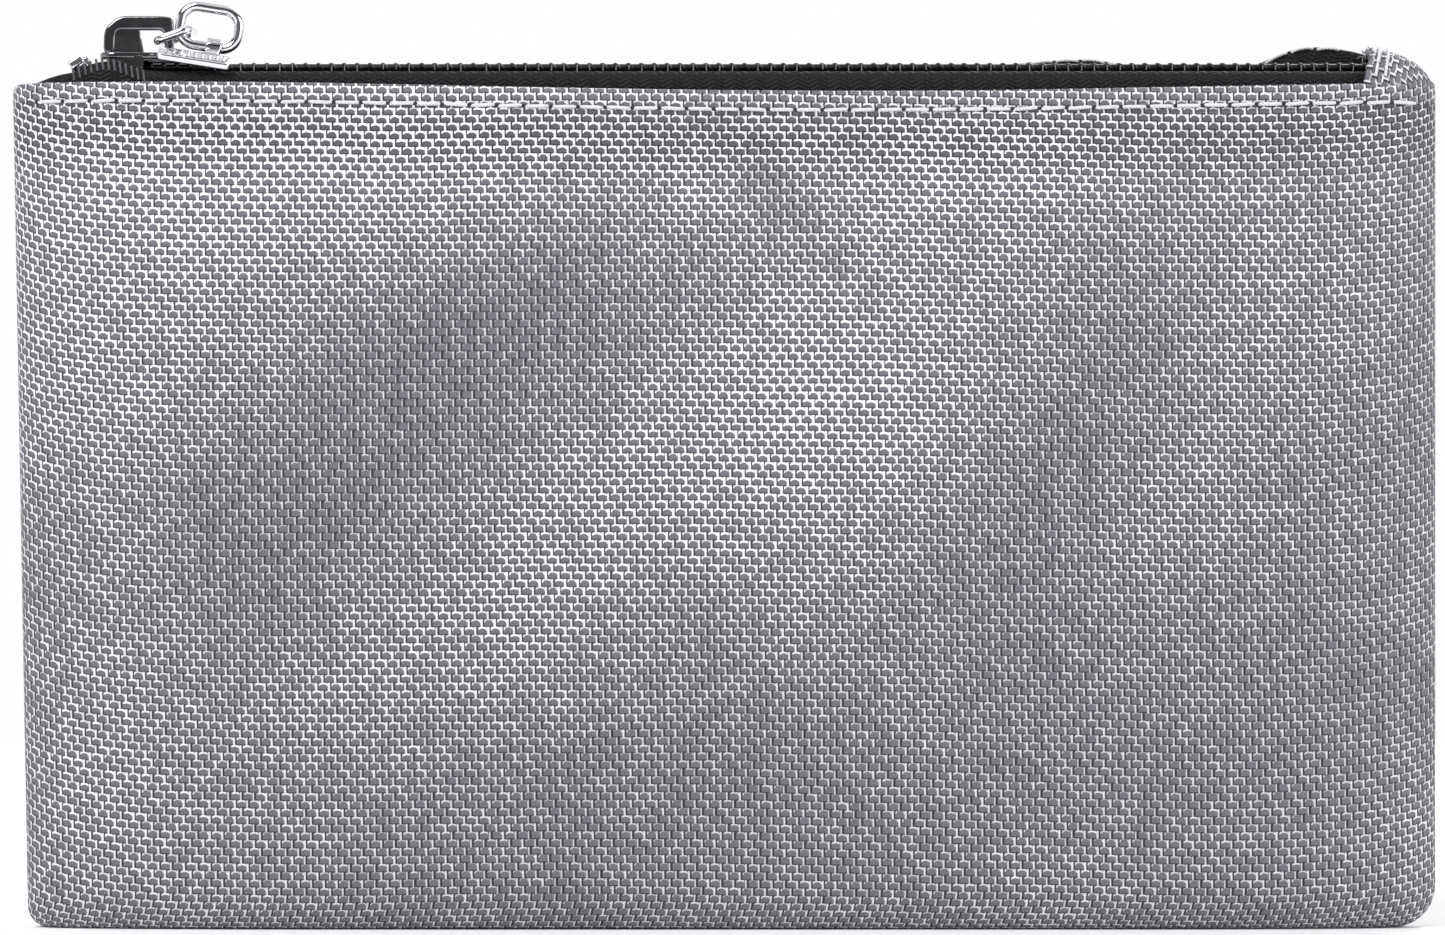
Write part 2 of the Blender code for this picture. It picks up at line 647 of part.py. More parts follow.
def make_tab(chrome):
    """Flat tab with a knuckle rolled round the ring's lower side."""
    origin = RING_PIVOT + in_ring(RING_LENGTH - RING_NEAR - TAB_REACH, RING_RISE - RING_HEIGHT / 2)
    place = Matrix.Translation(origin) @ Matrix.Rotation(-RING_SLOPE, 4, "Y")
    tab = make_knuckle(chrome, place)
    near, far, cut = -TAB_OFFSET, -TAB_OFFSET - TAB_DEPTH, TAB_CORNER
    neck, half = -RING_WIRE / 2 - KNUCKLE_WALL, TAB_NECK / 2
    left, right = TAB_REACH - TAB_LENGTH, TAB_REACH
    outline = [(left, near), (-half, near), (-half, neck), (half, neck), (half, near), (right - cut, near),
               (right, near - cut), (right, far + cut), (right - cut, far), (left + cut, far),
               (left, far + cut)]
    blade = plate("tab_blade", outline, TAB_THICKNESS, where=CUTTERS)
    blade.matrix_world = place @ Matrix.Rotation(-TAB_TILT, 4, "X")
    combine(tab, as_mesh(blade), "UNION")


# ---------------------------------------------------------------- assembly

for leftover in list(bpy.data.objects):
    bpy.data.objects.remove(leftover)

PARTS = collection("lipo_safe_pouch")
CUTTERS = collection("cutters")

CLOTH_FINISH = material("silver_cloth", (0.36, 0.35, 0.38), 0.5)
LINING_FINISH = material("glass_cloth_lining", (0.62, 0.62, 0.6), 0.7)
TAPE_FINISH = material("black_tape", (0.012, 0.012, 0.014), 0.75)
NYLON_FINISH = material("black_nylon", (0.01, 0.01, 0.012), 0.45)
BINDING_FINISH = material("grey_binding", (0.2, 0.2, 0.21), 0.8)
THREAD_FINISH = material("grey_thread", (0.55, 0.54, 0.57), 0.55)
CHROME_FINISH = material("black_chrome", (0.32, 0.32, 0.34), 0.12, 1.0)
SPRING_FINISH = material("spring_steel", (0.5, 0.5, 0.5), 0.3, 1.0)

make_panels(CLOTH_FINISH, LINING_FINISH)
make_bindings(BINDING_FINISH, THREAD_FINISH)
make_topstitches(THREAD_FINISH)
make_tapes(TAPE_FINISH)
make_coils(NYLON_FINISH)
make_top_stops(CHROME_FINISH)
make_end_tab(CLOTH_FINISH, THREAD_FINISH)
make_slider_body(CHROME_FINISH)
make_crown(CHROME_FINISH)
make_lock_pin(SPRING_FINISH)
make_link(CHROME_FINISH)
make_ring(CHROME_FINISH)
make_tab(CHROME_FINISH)
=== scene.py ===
import json
import math
import random

import bmesh
import bpy
from mathutils import Matrix, Vector, noise


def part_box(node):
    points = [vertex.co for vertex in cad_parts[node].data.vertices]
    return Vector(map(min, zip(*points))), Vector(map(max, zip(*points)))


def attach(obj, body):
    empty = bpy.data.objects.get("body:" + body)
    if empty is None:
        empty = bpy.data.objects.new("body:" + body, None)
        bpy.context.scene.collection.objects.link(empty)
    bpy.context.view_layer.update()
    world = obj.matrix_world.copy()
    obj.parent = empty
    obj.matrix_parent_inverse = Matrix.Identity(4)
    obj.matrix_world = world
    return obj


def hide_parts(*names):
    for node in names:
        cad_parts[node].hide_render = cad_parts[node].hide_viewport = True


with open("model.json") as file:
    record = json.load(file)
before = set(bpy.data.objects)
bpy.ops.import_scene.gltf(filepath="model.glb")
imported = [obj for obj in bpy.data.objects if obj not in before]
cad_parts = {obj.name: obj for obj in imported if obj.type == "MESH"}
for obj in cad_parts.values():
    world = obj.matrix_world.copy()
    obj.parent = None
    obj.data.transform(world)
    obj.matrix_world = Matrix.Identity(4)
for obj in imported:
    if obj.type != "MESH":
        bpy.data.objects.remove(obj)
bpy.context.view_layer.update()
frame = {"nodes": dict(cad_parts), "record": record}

# ---------------------------------------------------------------- studio
# The pouch stands on a pale floor in a white surround. The surround has a dark band above the
# horizon for the plated metal to reflect, and three large soft lights shape the cloth.

MM = 0.001
scene = bpy.context.scene
scene.view_settings.view_transform = "Standard"
pouch_low, pouch_high = (Vector(corner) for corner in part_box("front_panel"))
WIDTH = pouch_high.x - pouch_low.x
HEIGHT = pouch_high.z
FRONT = pouch_low.y


def aim(thing, target):
    """Turn a lamp or the camera towards a place."""
    thing.rotation_euler = (Vector(target) - thing.location).to_track_quat("-Z", "Y").to_euler()


def soft_light(name, where, target, size, watts):
    """A large square lamp."""
    lamp = bpy.data.lights.new(name, "AREA")
    lamp.size = size
    lamp.energy = watts
    holder = bpy.data.objects.new(name, lamp)
    scene.collection.objects.link(holder)
    holder.location = where
    aim(holder, target)


LENS, SENSOR = 150, 36          # of the camera, in mm
FRAME_WIDTH = WIDTH * 1.0052    # seen by the camera at the front panel
VIEW_X, VIEW_HEIGHT = -0.2 * MM, HEIGHT * 0.549
camera = bpy.data.objects.new("camera", bpy.data.cameras.new("camera"))
scene.collection.objects.link(camera)
camera.data.lens = LENS
camera.data.sensor_width = SENSOR
camera.data.clip_start = 0.01
camera.location = (VIEW_X, FRONT - FRAME_WIDTH * LENS / SENSOR, VIEW_HEIGHT)
aim(camera, (VIEW_X, 0, VIEW_HEIGHT))
scene.camera = camera

soft_light("key_light", (-0.45, -0.55, 0.75), (0, 0, 0.06), 0.5, 9.0)
soft_light("fill_light", (0.7, -0.5, 0.3), (0, 0, 0.05), 0.6, 4.5)
soft_light("back_light", (0.3, 0.7, 0.6), (0, 0, 0.06), 0.5, 4.0)

# brightness of the surround from straight down, 0, to straight overhead, 1
SKY_BANDS = ((0.0, 1.0), (0.34, 1.0), (0.44, 0.1), (0.6, 0.1), (0.74, 0.9), (1.0, 0.9))


class Tone:
    """A socket of a node tree that can be used in sums, or the bare tree when it has no socket."""

    def __init__(self, tree, socket=None):
        self.tree = tree
        self.socket = socket

    def node(self, kind, settings=None, values=None, output=0):
        """Add a node: its settings first, then the values or links of its sockets."""
        made = self.tree.nodes.new("ShaderNode" + kind)
        for setting, value in (settings or {}).items():
            if setting == "stops":
                ramp = made.color_ramp.elements
                while len(ramp) < len(value):
                    ramp.new(0.5)
                for stop, (position, shade) in zip(ramp, value):
                    stop.position = position
                    stop.color = shade
            else:
                setattr(made, setting, value)
        for socket, value in (values or {}).items():
            if isinstance(value, Tone):
                self.tree.links.new(value.socket, made.inputs[socket])
            else:
                made.inputs[socket].default_value = value
        return Tone(self.tree, made.outputs[output])

    def maths(self, operation, first, second=0.0):
        """A Math node on tones or numbers."""
        return self.node("Math", {"operation": operation}, {0: first, 1: second})

    def __add__(self, other):
        return self.maths("ADD", self, other)

    def __radd__(self, other):
        return self.maths("ADD", other, self)

    def __sub__(self, other):
        return self.maths("SUBTRACT", self, other)

    def __rsub__(self, other):
        return self.maths("SUBTRACT", other, self)

    def __mul__(self, other):
        return self.maths("MULTIPLY", self, other)

    def __rmul__(self, other):
        return self.maths("MULTIPLY", other, self)

    def __mod__(self, other):
        return self.maths("FLOORED_MODULO", self, other)

    def floor(self):
        return self.maths("FLOOR", self)

    def cosine(self):
        return self.maths("COSINE", self)

    def decay(self):
        """e to the power of minus this tone."""
        return self.maths("EXPONENT", 0.0 - self)

    def clamped(self):
        """Kept from 0 to 1."""
        return self.node("Clamp", None, {0: self})

    def mix(self, low, high):
        """Blend two colours by this tone."""
        return self.node("Mix", {"data_type": "RGBA"}, {0: self, 6: low, 7: high}, 2)


def colour(red, green, blue):
    """An opaque colour."""
    return (red, green, blue, 1.0)


def new_material(name, **uniform):
    """A Principled material with its fixed socket values, and the tone that its nodes grow from."""
    made = bpy.data.materials.new(name)
    made.use_nodes = True
    shader = made.node_tree.nodes["Principled BSDF"]
    for socket, value in uniform.items():
        shader.inputs[socket.replace("_", " ")].default_value = value
    return made, shader, Tone(made.node_tree)


def join(shader, socket, tone):
    """Feed a varying tone into the shader."""
    tone.tree.links.new(tone.socket, shader.inputs[socket])


def parts_of(tone, vector):
    """X, Y and Z of a vector."""
    return [tone.node("SeparateXYZ", None, {0: vector}, axis) for axis in range(3)]


surround = bpy.data.worlds.new("surround")
scene.world = surround
surround.use_nodes = True
sky = Tone(surround.node_tree)
_, nearness, overhead = parts_of(sky, sky.node("TexCoord"))
stops = [(position, colour(level, level, level * 1.02)) for position, level in SKY_BANDS]
background = surround.node_tree.nodes["Background"]
join(background, "Color", sky.node("ValToRGB", {"stops": stops}, {0: overhead}))
strength = {"Value": nearness, "From Min": -0.75, "From Max": -0.1, "To Min": 0.16}
join(background, "Strength", sky.node("MapRange", None, strength))

floor_mesh = bpy.data.meshes.new("floor")
edge, back = 1.0, 0.5
corners = [(-edge, -edge, 0), (edge, -edge, 0), (edge, back, 0), (-edge, back, 0)]
floor_mesh.from_pydata(corners, [], [(0, 1, 2, 3)])
floor = bpy.data.objects.new("floor", floor_mesh)
scene.collection.objects.link(floor)
floor_paint, _, _ = new_material("pale_floor", Base_Color=colour(0.86, 0.86, 0.87), Roughness=0.7)
floor_mesh.materials.append(floor_paint)

# ---------------------------------------------------------------- silver cloth
# Heavy plain-weave nylon with a silver coating. Highlights where the flat yarns cross over, and
# shade in the dark gaps between them, are painted into the colour. A UV map called yarns counts
# the yarns along each sheet.

YARN_ACROSS = 0.757 * MM
YARN_UP = 0.934 * MM
HEM_DIP = 0.55 * MM             # the folded edge waves by this much each way along the pouch
DIP_CREST = -70 * MM            # x of a high point of that wave
DIP_RUN = 85 * MM               # and how far on its next low point is


def soft_step(tone, low, high):
    """0 below low, 1 above high, and a smooth change between them."""
    return tone.node("MapRange", {"interpolation_type": "SMOOTHSTEP"}, {0: tone, 1: low, 2: high})


# areas of painted light on the yarns, or of painted shade where negative, where the cloth faces the
# light or turns from it: middle x and z, half length and half width in mm, slope of the length in
# degrees, and strength
PAINTED_LIGHT_AREAS = ((-50, 92, 48, 13, 3, 0.34), (-70, 74, 26, 15, 75, 0.24), (-26, 72, 34, 11, 28, -0.38),
        (11, 64, 26, 17, 60, 0.33), (26, 90, 40, 9, 0, 0.22), (8, 86, 16, 4, -50, -0.32),
        (42, 60, 26, 10, 60, -0.24), (-28, 40, 28, 10, 35, 0.16), (60, 82, 20, 12, 20, 0.04),
        (-54, 46, 18, 12, 30, -0.28), (80, 52, 40, 11, 86, -0.14), (30, 16, 76, 20, 4, -0.2),
        (-76, 24, 22, 8, 80, 0.16), (-6, 84, 14, 3.5, 50, 0.2))


def band_of(height, levels):
    """1 between the middle two of four levels in mm, fading to 0 at the outer two."""
    bottom, low, high, top = (level * MM for level in levels)
    return soft_step(height, bottom, low) * (1.0 - soft_step(height, high, top))


def painted_light_and_shade(x, z):
    """Broad areas of painted light and painted shade over the pouch."""
    total = 0.42
    for middle_x, middle_z, length, width, slope, strength in PAINTED_LIGHT_AREAS:
        turn = math.radians(slope)
        across, up = x * 1000.0 - middle_x, z * 1000.0 - middle_z
        along = across * math.cos(turn) + up * math.sin(turn)
        aside = up * math.cos(turn) - across * math.sin(turn)
        reach = along * along * (1.0 / length ** 2) + aside * aside * (1.0 / width ** 2)
        total = total + reach.decay() * strength
    return total


def relief(start, shader, height, strength, depth):
    """Bump the surface by a varying height."""
    bumped = start.node("Bump", None, {"Strength": strength, "Distance": depth, "Height": height})
    join(shader, "Normal", bumped)


def woven(name, yarn, highlight_colour, shade_colour):
    """Plain weave of flat yarns: broad grey wefts, each with a painted highlight on its upper edge,
    and narrow warps between them with painted highlights, with painted shade in the gaps. Under
    the hem's stitches, where the cloth is drawn in, the front is darker with painted shade and has
    stronger painted highlights."""
    made, shader, start = new_material(name, Specular_IOR_Level=0.5)
    spot = start.node("TexCoord", None, None, 3)
    sway = start.node("TexNoise", None, {"Vector": spot, "Scale": 55.0, "Detail": 1.0}) - 0.5
    across, up, _ = parts_of(start, start.node("UVMap", {"uv_map": "yarns"}))
    across, up = across + sway * 0.6, up + sway * 0.5
    column, row = across.floor(), up.floor()
    side, rise = across - column - 0.5, up - row - 0.5
    warp_over = (column + row) % 2.0
    off = side.maths("ABSOLUTE", side)
    from_weft = warp_over * (1.0 - off * 2.0) + off
    cell = start.node("CombineXYZ", None, {0: column, 1: row, 2: 0.0})
    chance = start.node("TexWhiteNoise", {"noise_dimensions": "2D"}, {"Vector": cell})
    fibre_place = start.node("CombineXYZ", None, {0: across * 2.0, 1: up * 9.0, 2: 0.0})
    fibre = start.node("TexNoise", None, {"Vector": fibre_place, "Scale": 1.6, "Detail": 2.0})
    x, y, z = parts_of(start, spot)
    level = z - ((x - DIP_CREST) * (math.pi / DIP_RUN)).cosine() * HEM_DIP
    on_front = 1.0 - soft_step(y, -1 * MM, 1 * MM)
    # painted shade and stronger painted highlights in the hollow under the front hem's stitches, and a
    # painted shade line along them
    painted_hem_contrast = on_front * band_of(level, (88, 94, 96.4, 97.2))
    painted_stitch_shade = on_front * band_of(level, (96.8, 97.2, 97.8, 98.1))
    cloudy = start.node("TexNoise", None, {"Vector": spot, "Scale": 38.0, "Detail": 2.0}) - 0.5
    # painted light and shade over broad areas, with a little random tone for each yarn
    painted_light = (painted_light_and_shade(x, z) + cloudy * 0.5 + (chance - 0.5) * 0.14).clamped()
    # painted highlights along the upper edge of each weft and down each warp
    arch = rise + from_weft * from_weft * 0.5
    reach = painted_light * 0.18 + (chance - 0.5) * 0.1
    painted_shine = painted_light * 1.1 + 0.06 + painted_hem_contrast * 0.3 + (chance - 0.5) * 0.4
    painted_cap_highlight = soft_step(arch, 0.38 - reach, 0.47 - reach) * painted_shine
    warp = soft_step(from_weft, 0.66, 0.78) * warp_over
    wide = painted_light * 0.21 + (chance - 0.5) * 0.1
    painted_warp_highlight = (1.0 - soft_step(side, wide - 0.18, wide)) * (painted_light * 0.5 + 0.48 + (fibre - 0.5) * 0.8)
    painted_highlight = (warp * painted_warp_highlight + (1.0 - warp) * painted_cap_highlight).clamped()
    # painted shade in the grooves between rows and beside each warp, mixed towards the shade colour
    groove_shade = (soft_step(0.0 - rise, 0.3, 0.48) + soft_step(arch, 0.5, 0.62) * 0.8) * (1.0 - warp)
    shadow = warp * soft_step(side, wide - 0.14, wide + 0.02) + groove_shade * 0.85
    shadow = (shadow + (painted_hem_contrast * 0.45 + painted_stitch_shade * 0.6) * (1.0 - painted_highlight)).clamped()
    tone = (fibre * 0.5 + painted_light * 0.5).mix(tuple(c * 0.8 for c in yarn[:3]) + (1.0,), yarn)
    tone = (painted_highlight * (fibre * 0.3 + 0.8)).clamped().mix(tone, highlight_colour)
    join(shader, "Base Color", shadow.mix(tone, shade_colour))
    join(shader, "Roughness", 0.62 - painted_highlight * 0.22)
    height = painted_highlight * 0.4 - shadow * 0.8 + (1.0 - from_weft) * 0.5 + fibre * 0.1
    relief(start, shader, height, 0.55, 0.25 * MM)
    return made


silver_cloth = woven("silver_cloth", colour(0.142, 0.135, 0.158), colour(0.95, 0.94, 0.97),
                     colour(0.012, 0.011, 0.015))

# ---------------------------------------------------------------- front and back panels
# Two rectangles of the silver cloth, sewn together inside out round three sides and turned.
# Each is folded over at the top to make the hem that the zip tape is stitched behind.

BELLY, MOUTH, BASE, FOOT = 8 * MM, 7.2 * MM, 3.5 * MM, 7 * MM
SHEET = 0.6 * MM
HEM_ROLL = 0.8 * MM
HEM_TURN = 7 * MM
HEM_START = 0.935               # share of the height where the rows of the mesh become finer
PULL_START = 0.7                # share where the cloth begins to follow the hem's own line
STITCH_DROP = 2.3 * MM
SEAM = 0.2 * MM
LEAN, LEFT_CORNER, RIGHT_CORNER = 1.8 * MM, 2.5 * MM, 5 * MM
# each soft fold of the cloth: from (x, z) to (x, z), its width, and how far it stands out, in mm
FRONT_FOLDS = (((-46, 70), (2, 97), 9, -0.55), ((-32, 50), (8, 70), 11, 0.5), ((4, 97), (16, 58), 5, 0.4),
               ((26, 30), (58, 74), 12, -0.5), ((-72, 28), (-42, 50), 12, 0.45),
               ((44, 88), (80, 58), 10, 0.5), ((-12, 28), (30, 46), 12, 0.4),
               ((-78, 88), (-50, 60), 8, 0.4), ((-60, 12), (0, 18), 7, -0.3))
BACK_FOLDS = (((-60, 74), (-10, 92), 10, 0.5), ((-20, 40), (30, 66), 12, -0.5), ((20, 30), (66, 48), 11, 0.5),
              ((46, 90), (70, 60), 8, -0.4), ((-74, 20), (-30, 36), 12, 0.4))


def hem_line(x):
    """Height of the folded edge, which dips between the ends."""
    return HEIGHT + 0.1 * MM + HEM_DIP * math.cos(math.pi * (x - DIP_CREST) / DIP_RUN)


def corner_inset(z, radius):
    """How far a rounded bottom corner has drawn in at a height."""
    if z >= radius:
        return 0.0
    return radius - math.sqrt(radius ** 2 - (radius - z) ** 2)


def seam_edges(z):
    """Left and right seam at a height."""
    z = min(max(z, 0.0), HEIGHT)
    left = -WIDTH / 2 + LEAN * (1.0 - z / HEIGHT) + corner_inset(z, LEFT_CORNER)
    return left, WIDTH / 2 - corner_inset(z, RIGHT_CORNER)


def bump(distance, width):
    """A smooth rise, 1 at its middle and gone at about twice its width."""
    return math.exp(-(distance / width) ** 2)


def fold_swell(x, z, folds):
    """How far the soft folds push the cloth out at a place."""
    swell = 0.0
    spot = Vector((x, z)) / MM
    for start, end, width, rise in folds:
        start, end = Vector(start), Vector(end)
        along = min(max((spot - start).dot(end - start) / (end - start).length_squared, 0.0), 1.0)
        swell += rise * bump((spot - start.lerp(end, along)).length, width)
    return swell * MM


def panel_depth(x, z, folds):
    """Distance from the middle plane to the outer face of the cloth."""
    low_z = min(max(z, 0.0), HEIGHT)
    left, right = seam_edges(low_z)
    u = min(abs((x - (left + right) / 2) / ((right - left) / 2)), 1.0)
    share = low_z / HEIGHT
    full = MOUTH + (BELLY - MOUTH) * math.sin(math.pi * share)
    curve = 1.0 - min(low_z / FOOT, 1.0)
    half = BASE + (full - BASE) * math.sqrt(1.0 - curve ** 2)
    closing = math.sqrt(1.0 - u ** (7 + 8 * share ** 3))
    calm = closing * min(low_z / FOOT, 1.0)
    crumple = noise.noise(Vector((x * 70, z * 90, half * 40))) * 0.12 * MM
    below = z - hem_line(x) + STITCH_DROP
    stitch = 0.42 * MM * bump(below, 0.5 * MM) - 0.22 * MM * bump(below + 2.4 * MM, 1.3 * MM)
    near_hem = bump(z - HEIGHT, 9 * MM)
    swell = (fold_swell(x, z, folds) * (1.0 - near_hem) + crumple) * calm
    return SEAM + (half - SEAM) * closing + swell - stitch * closing


def spread(count, ease=1.8):
    """Places from -1 to 1, closer together towards both ends."""
    half = [1.0 - (1.0 - i / count) ** ease for i in range(count + 1)]
    return [-u for u in reversed(half[1:])] + half


def cloth_mesh(name, rows, yarn_across=YARN_ACROSS, yarn_up=YARN_UP):
    """A sheet through rows of points, with the yarns counted across and up as a UV map."""
    count = len(rows[0])
    faces = []
    for r in range(len(rows) - 1):
        for c in range(count - 1):
            first = r * count + c
            faces.append((first, first + 1, first + count + 1, first + count))
    mesh = bpy.data.meshes.new(name)
    mesh.from_pydata([point for row in rows for point in row], [], faces)
    up = [[0.0] * count for _ in rows]
    across = [[0.0] * count for _ in rows]
    for r, row in enumerate(rows):
        for c in range(1, count):
            across[r][c] = across[r][c - 1] + (row[c] - row[c - 1]).length / yarn_across
        middle_count = across[r][count // 2]
        across[r] = [value - middle_count for value in across[r]]
        if r:
            for c in range(count):
                up[r][c] = up[r - 1][c] + (row[c] - rows[r - 1][c]).length / yarn_up
    layer = mesh.uv_layers.new(name="yarns")
    for loop in mesh.loops:
        r, c = divmod(loop.vertex_index, count)
        layer.data[loop.index].uv = (across[r][c], up[r][c])
    mesh.shade_smooth()
    return mesh


def paint(data, finish):
    """Give a mesh or curve one material."""
    data.materials.clear()
    data.materials.append(finish)


def place(name, data, body, *stands_for, slot=None, finish=None):
    """Put a finished piece in the scene, on its body and in place of its plain solids."""
    piece = bpy.data.objects.new(name, data)
    scene.collection.objects.link(piece)
    if finish:
        paint(data, finish)
    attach(piece, body)
    if stands_for:
        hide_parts(*stands_for)
    return piece


def thicken(piece, thickness, offset=-1.0):
    """Give a sheet its thickness."""
    solid = piece.modifiers.new("thickness", "SOLIDIFY")
    solid.thickness = thickness
    solid.offset = offset


def no_rise(x):
    """The front hem keeps to its own line all along x."""
    return 0.0


def panel_rows(side, folds, rise):
    """Rows of a panel from its bottom seam up, over the fold and down inside the hem."""
    rows = []
    shares = spread(110)
    foot = FOOT / HEIGHT
    levels = [foot * (1.0 - math.cos(math.pi / 2 * i / 12)) for i in range(13)]
    levels += [foot + (HEM_START - foot) * (i + 1) / 84 for i in range(84)]
    levels += [HEM_START + (1.0 - HEM_START) * (i + 1) / 26 for i in range(26)]
    for inner in (BASE * i / 5 for i in range(5)):
        row = []
        for u in shares:
            left, right = seam_edges(0.0)
            closing = math.sqrt(1.0 - abs(u) ** 7)
            row.append(Vector((left + (right - left) * (u + 1) / 2, side * (SEAM + inner * closing), 0.0)))
        rows.append(row)
    top_rows = [[] for _ in range(len(levels) + 14)]
    for u in shares:
        column = []
        for level in levels:
            left, right = seam_edges(level * HEIGHT)
            x = left + (right - left) * (u + 1) / 2
            top = hem_line(x) + rise(x) - HEM_ROLL
            pull = max(level - PULL_START, 0) / (1.0 - PULL_START)
            lower = min(level, PULL_START) * HEIGHT
            z = lower + (top - lower) * pull
            column.append(Vector((x, side * panel_depth(x, z - rise(x) * pull, folds), z)))
        top = column[-1].copy()
        roll = min(HEM_ROLL, abs(top.y) * 0.45)
        for i in range(1, 9):
            angle = math.pi * i / 8
            tuck = math.copysign(0.7 * MM, -u) * abs(u) ** 12 * i / 8
            column.append(top + Vector((tuck, -side * roll * (1 - math.cos(angle)), roll * math.sin(angle))))
        tuck = Vector((-math.copysign(1.3 * MM, u) * abs(u) ** 12, 0, -HEM_TURN))
        for i in range(1, 7):
            column.append(column[-1] + tuck / 6)
        for row, point in zip(top_rows, column):
            row.append(point)
    return rows + top_rows


def back_rise(x):
    """The back hem stands up in two soft humps towards the right end of the zip."""
    total = 0.0
    for height, middle, left_run, right_run in ((3.2, 70.8, 7.6, 13), (2.0, 43.5, 17, 7.8)):
        distance = x / MM - middle
        total += height * bump(distance, left_run if distance < 0 else right_run)
    return total * MM


rows = panel_rows(-1, FRONT_FOLDS, no_rise)
panel = place("front_panel_cloth", cloth_mesh("front_panel_cloth", rows), "pouch",
              "front_panel", slot="silver_cloth", finish=silver_cloth)
thicken(panel, SHEET)
rows = [row[::-1] for row in panel_rows(1, BACK_FOLDS, back_rise)]
panel = place("back_panel_cloth", cloth_mesh("back_panel_cloth", rows), "pouch",
              "back_panel", slot="silver_cloth", finish=silver_cloth)
thicken(panel, SHEET)

# ---------------------------------------------------------------- lining and inner seams
# White glass-fibre cloth behind each panel, and grey woven tape bound over the seam
# allowances inside. They only show with the zip open, so they keep their plain shapes.

def matt_cloth(name, dark, light, count, roughness):
    """A matt cloth whose threads are counted in space, in radians to the metre."""
    made, shader, start = new_material(name)
    spot = start.node("TexCoord", None, None, 3)
    x, y, z = parts_of(start, spot)
    threads = ((x + y * 0.5) * count).cosine() * (z * count).cosine() * 0.5 + 0.5
    fuzz = start.node("TexNoise", None, {"Vector": spot, "Scale": 900.0, "Detail": 2.0})
    join(shader, "Base Color", (threads * 0.7 + fuzz * 0.3).mix(dark, light))
    join(shader, "Roughness", fuzz * 0.2 + (roughness - 0.1))
    relief(start, shader, threads, 0.5, 0.2 * MM)
    return made


lining = matt_cloth("glass_fibre_lining", colour(0.45, 0.45, 0.43), colour(0.74, 0.74, 0.71), 6500, 0.75)
binding = matt_cloth("grey_binding", colour(0.1, 0.1, 0.11), colour(0.26, 0.26, 0.27), 8000, 0.8)
for node in ("front_liner", "back_liner"):
    paint(frame["nodes"][node].data, lining)
for side in ("left", "right", "bottom"):
    paint(frame["nodes"][f"{side}_seam_binding"].data, binding)

# ---------------------------------------------------------------- threads
# Twisted polyester thread, a shade lighter than the cloth. On each hem it lies in dashes of
# about 3 mm, pulled down into a needle hole at each end.

STITCH = 3.2 * MM
THREAD = 0.46 * MM


def twisted_thread():
    """Two plies, seen as slanting bands along the thread."""
    made, shader, start = new_material("twisted_thread", Sheen_Weight=0.3)
    spot = start.node("TexCoord", None, None, 3)
    x, y, z = parts_of(start, spot)
    twist = ((x * 1.0 + z * 1.3 + y * 0.8) * 16000).cosine() * 0.5 + 0.5
    fuzz = start.node("TexNoise", None, {"Vector": spot, "Scale": 2500.0, "Detail": 1.0})
    bands = twist * 0.7 + fuzz * 0.3
    join(shader, "Base Color", bands.mix(colour(0.42, 0.41, 0.45), colour(0.9, 0.89, 0.93)))
    join(shader, "Roughness", fuzz * 0.2 + 0.4)
    relief(start, shader, twist, 0.6, 0.1 * MM)
    return made


thread_finish = twisted_thread()
for side in ("left", "right", "bottom"):
    paint(frame["nodes"][f"{side}_seam_thread"].data, thread_finish)


def tube(name, lines, diameter, sides=2, closed=False):
    """Round thread or wire along each line of points."""
    data = bpy.data.curves.new(name, "CURVE")
    data.dimensions = "3D"
    data.bevel_depth = diameter / 2
    data.bevel_resolution = sides
    data.use_fill_caps = not closed
    for line in lines:
        spline = data.splines.new("POLY")
        spline.points.add(len(line) - 1)
        for point, where in zip(spline.points, line):
            point.co = (*where, 1.0)
        spline.use_cyclic_u = closed
        spline.use_smooth = True
    return data


def stitch_line(surface, start, end, seed, dash=0.86):
    """Dashes along a surface, given as a function of x that returns a place and its outward direction."""
    chance = random.Random(seed)
    count = round((end - start) / STITCH)
    lines = []
    for number in range(count):
        from_x = start + (end - start) * number / count
        tilt = chance.uniform(-0.12, 0.22) * MM
        line = []
        for i in range(7):
            share = i / 6
            where, out = surface(from_x + STITCH * dash * share + 0.06 * MM)
            lift = THREAD * (0.75 * math.sin(math.pi * share) ** 0.5 - 0.3)
            line.append(where + out * lift + Vector((0, 0, tilt * (share - 0.5))))
        lines.append(line)
    return lines


def hem_stitch_surface(side, folds, rise):
    """The outer face of a hem along its row of stitches, for stitch_line."""
    def surface(x):
        z = hem_line(x) - STITCH_DROP
        return Vector((x, side * panel_depth(x, z, folds), z + rise(x))), Vector((0, side, 0))
    return surface


